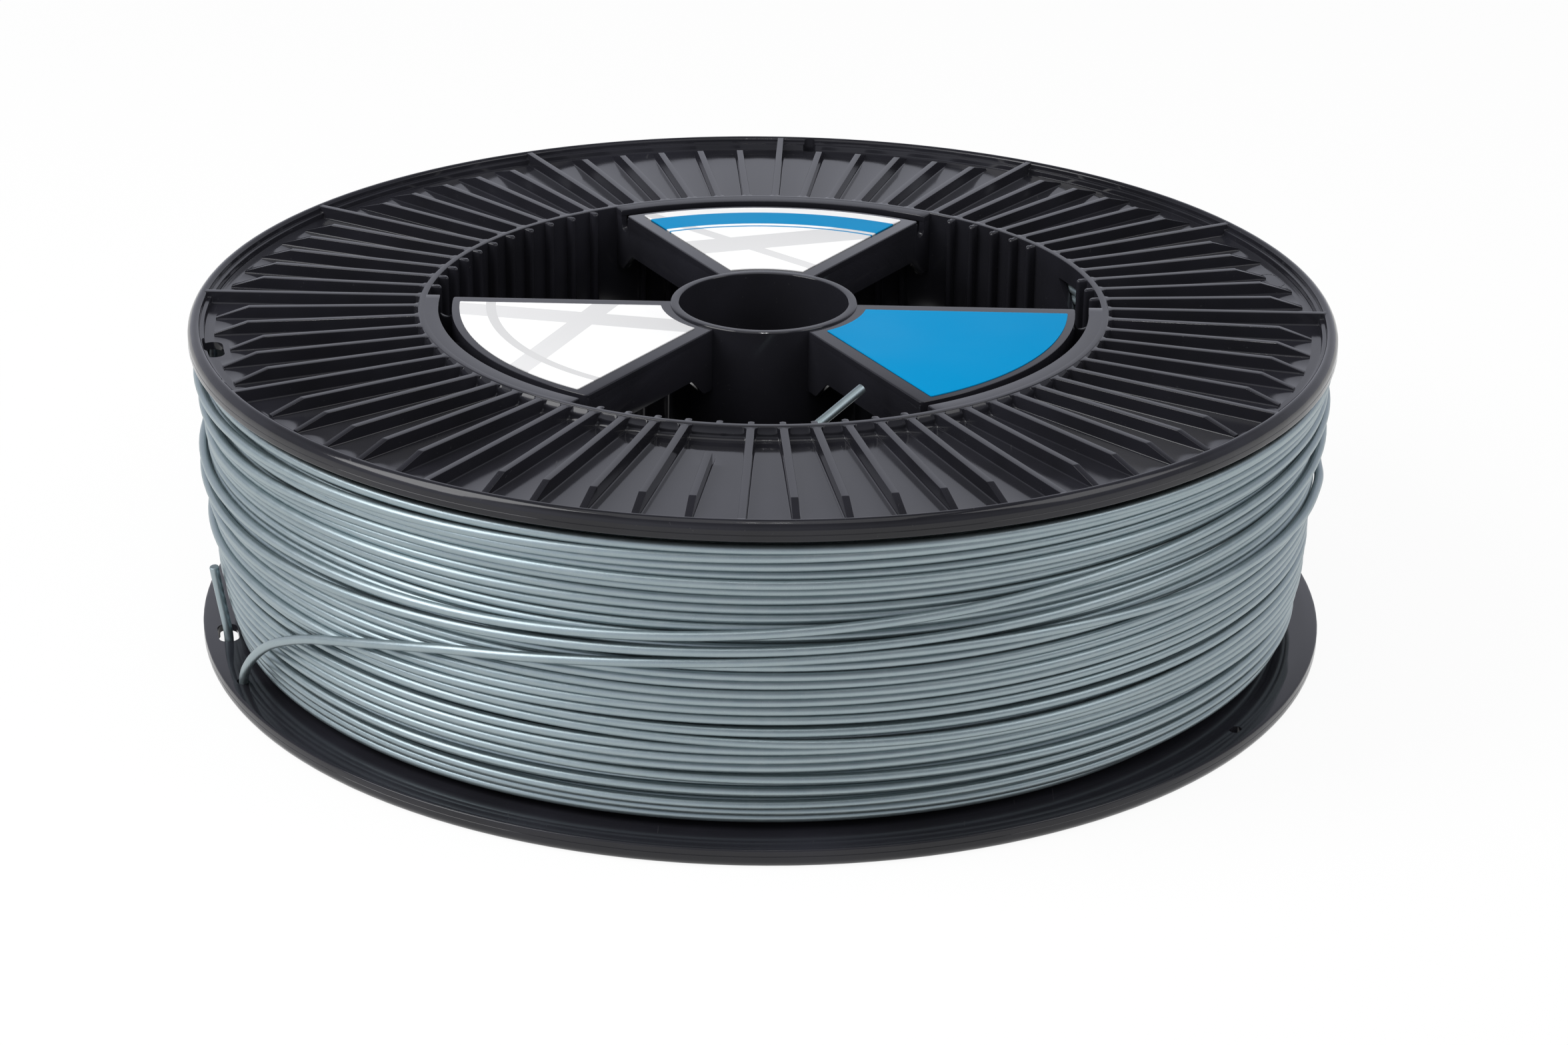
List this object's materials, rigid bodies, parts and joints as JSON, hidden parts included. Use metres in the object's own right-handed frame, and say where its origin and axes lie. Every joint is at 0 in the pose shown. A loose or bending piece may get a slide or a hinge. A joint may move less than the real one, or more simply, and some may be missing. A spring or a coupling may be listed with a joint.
{
  "type": "filament spool",
  "caption": "Large ribbed plastic spool with a central bore, three label plates and a full winding of thick printing filament.",
  "frame": {"origin": "bottom centre: on the bore's axis, in the plane that the lower flange lies on", "axes": "+Z along the bore, up through the flange that shows; +X towards the plain blue label's right edge; +Y away from the viewer"},
  "size_m": [0.35, 0.35, 0.103],
  "materials": {
    "spool_plastic": "black injection moulding, satin to gloss",
    "filament": "silver grey with a fine metallic sheen",
    "label_white": "smooth printed label, white and pale grey with one blue band",
    "label_blue": "smooth printed label, plain blue"
  },
  "bodies": {
    "root": {"upper_flange": "spool_plastic", "upper_drum": "spool_plastic", "upper_hub": "spool_plastic", "upper_plate_back": "spool_plastic", "upper_plate_left": "spool_plastic", "upper_plate_right": "spool_plastic", "lower_flange": "spool_plastic", "lower_drum": "spool_plastic", "lower_hub": "spool_plastic", "lower_plate_back": "spool_plastic", "lower_plate_left": "spool_plastic", "lower_plate_right": "spool_plastic", "label_back": "label_white", "label_left": "label_white", "label_right": "label_blue", "filament_core": "filament", "filament_turns": "filament", "filament_start": "filament"}
  },
  "joints": []
}
